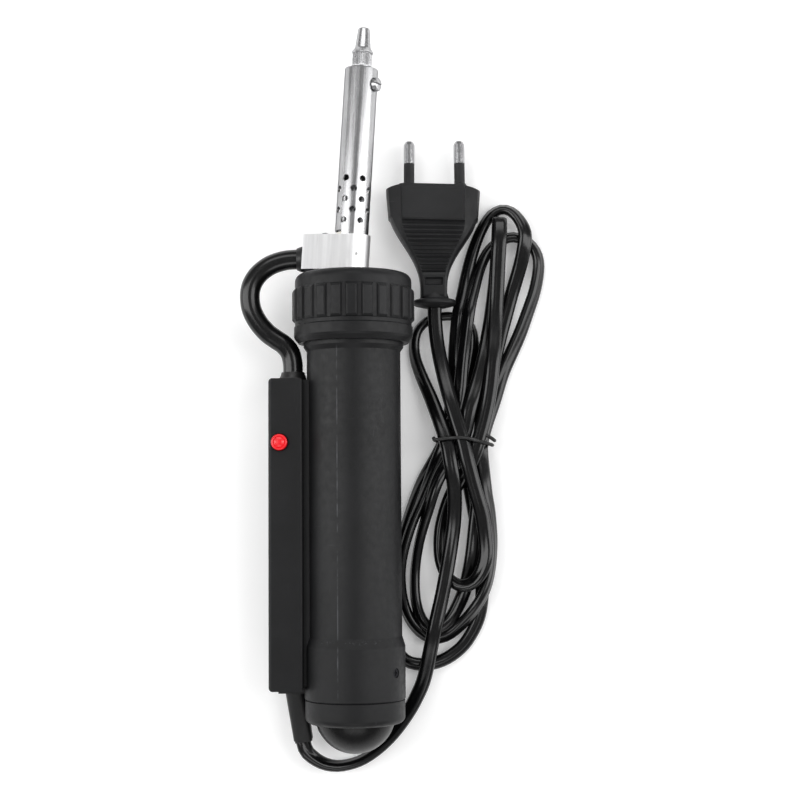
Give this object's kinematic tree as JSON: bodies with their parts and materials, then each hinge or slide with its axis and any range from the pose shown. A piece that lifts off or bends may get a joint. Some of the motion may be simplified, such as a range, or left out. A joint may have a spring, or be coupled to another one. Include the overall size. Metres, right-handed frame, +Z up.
{
  "type": "desoldering pump",
  "caption": "Mains-heated desoldering pump: tube handle with solenoid piston, red trigger, side wiring box, ribbed collar nut, heated suction nozzle and tied flat cord with plug.",
  "frame": {"origin": "centre of the pump's footprint on the table that it lies on, cord left out", "axes": "+Y from the rear dome towards the nozzle, +Z up from the table, +X to the side away from the wiring box"},
  "size_m": [0.1155, 0.2716, 0.0445],
  "materials": {
    "housing": "fine matt texture",
    "dome": "smooth",
    "button_red": "glossy",
    "rubber_black": "satin",
    "lead_sleeve": "glossy",
    "cord_pvc": "glossy",
    "tie_plastic": "satin",
    "plug_pvc": "fine matt texture",
    "pin_plating": "bright nickel",
    "steel_polished": "fine lengthways brushing",
    "steel_bright": "bright",
    "chrome": "polished",
    "screw_steel": "zinc plated",
    "screw_black": "blackened",
    "magnet_iron": "plain",
    "spring_steel": "bright",
    "aluminium": "honed",
    "copper": "enamelled copper wire",
    "nylon": "natural",
    "board_green": "glass epoxy",
    "component_black": "moulded epoxy",
    "fuse_glass": "clear",
    "wire_brown": "PVC",
    "phenolic": "moulded phenolic",
    "seal_rubber": "nitrile",
    "ceramic": "unglazed ceramic"
  },
  "bodies": {
    "handle": {"main_housing": "housing", "box_cover": "housing", "cover_screws": "screw_steel", "rear_cap": "housing", "rear_dome": "dome", "cap_screws": "screw_black", "cylinder_liner": "aluminium", "coil_bobbin": "nylon", "coil_winding": "copper", "solenoid_yoke": "magnet_iron", "yoke_front_plate": "magnet_iron", "yoke_rear_plate": "magnet_iron", "core_stop": "magnet_iron", "stop_buffer": "seal_rubber", "control_board": "board_green", "trigger_switch": "component_black", "power_diodes": "component_black", "mains_fuse": "fuse_glass", "inner_wires": "wire_brown", "lead_grommet": "rubber_black", "heater_lead": "lead_sleeve", "mains_strain_relief": "rubber_black", "cord_lead": "cord_pvc", "cord_hank": "cord_pvc", "plug_tail": "cord_pvc", "twist_tie": "tie_plastic", "plug_body": "plug_pvc", "plug_pins": "pin_plating", "pin_sleeves": "plug_pvc", "return_spring": "spring_steel", "button_spring": "spring_steel"},
    "trigger": {"trigger_button": "button_red"},
    "piston": {"armature": "magnet_iron", "piston_rod": "screw_steel", "piston_head": "component_black", "piston_rings": "seal_rubber"},
    "front_unit": {"front_plate": "phenolic", "front_seal": "seal_rubber", "suction_pipe": "steel_polished", "insulator_bush": "ceramic", "heater_core": "ceramic", "heat_shield": "steel_polished", "shield_screw": "chrome", "bracket": "steel_bright", "bracket_rivet": "steel_bright", "bracket_spacer": "screw_steel", "bracket_grommet": "rubber_black"},
    "collar": {"collar_nut": "housing"},
    "nozzle_tip": {"nozzle": "chrome"}
  },
  "joints": [
    {"name": "trigger_press", "type": "slide", "parent": "handle", "child": "trigger", "axis": [0, 0.0304, -0.9995], "range_m": [0, 0.0015], "stiffness_N_per_m": 600, "springref_m": -0.001, "deforming": ["button_spring"]},
    {"name": "piston_stroke", "type": "slide", "parent": "handle", "child": "piston", "axis": [0, -0.9995, -0.0304], "range_m": [0, 0.012], "stiffness_N_per_m": 250, "springref_m": -0.012, "deforming": ["return_spring"]},
    {"name": "front_release", "type": "slide", "parent": "handle", "child": "front_unit", "axis": [0, 0.9995, 0.0304], "range_m": [0, 0.0075], "deforming": ["heater_lead"]},
    {"name": "collar_turn", "type": "hinge", "parent": "front_unit", "child": "collar", "pos_m": [0.0095, 0.02873, 0.02227], "axis": [0, 0.9995, 0.0304], "range_deg": [0, 900]},
    {"name": "nozzle_removal", "type": "slide", "parent": "front_unit", "child": "nozzle_tip", "axis": [0.0645, 0.9975, 0.0304], "range_m": [0, 0.012]}
  ],
  "couplings": [
    {"joint": "collar_turn", "follows": "front_release", "rad_per_m": 2094.4}
  ]
}
